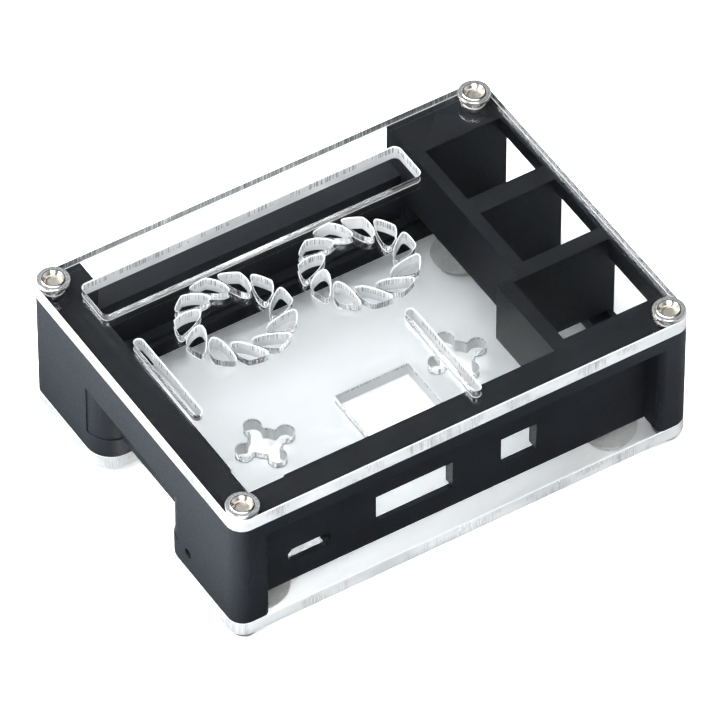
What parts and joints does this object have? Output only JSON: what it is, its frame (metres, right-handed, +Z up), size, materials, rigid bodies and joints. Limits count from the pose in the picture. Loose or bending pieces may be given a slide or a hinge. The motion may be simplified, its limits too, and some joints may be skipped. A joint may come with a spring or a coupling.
{
  "type": "single board computer case",
  "caption": "Low black case for a small computer board between clear top and bottom plates, with curved fan vents, a header slot, port windows and open connector bays.",
  "frame": {"origin": "on the table, under the middle of the case's outline", "axes": "+X along the case towards the open connector bays, +Y from the port windows to the rear, +Z up"},
  "size_m": [0.0932, 0.0688, 0.0324],
  "materials": {
    "clear_acrylic": "polished faces, laser-cut edges",
    "black_abs": "fine moulded grain",
    "nickel": "bright nickel plate",
    "screw_steel": "zinc plate",
    "clear_rubber": "soft, clear"
  },
  "bodies": {
    "root": {"top_cover": "clear_acrylic", "upper_frame": "black_abs", "lower_frame": "black_abs", "bottom_cover": "clear_acrylic", "sleeve_nut_1": "nickel", "sleeve_nut_2": "nickel", "sleeve_nut_3": "nickel", "sleeve_nut_4": "nickel", "case_screw_1": "screw_steel", "case_screw_2": "screw_steel", "case_screw_3": "screw_steel", "case_screw_4": "screw_steel", "foot_1": "clear_rubber", "foot_2": "clear_rubber", "foot_3": "clear_rubber", "foot_4": "clear_rubber"}
  },
  "joints": []
}
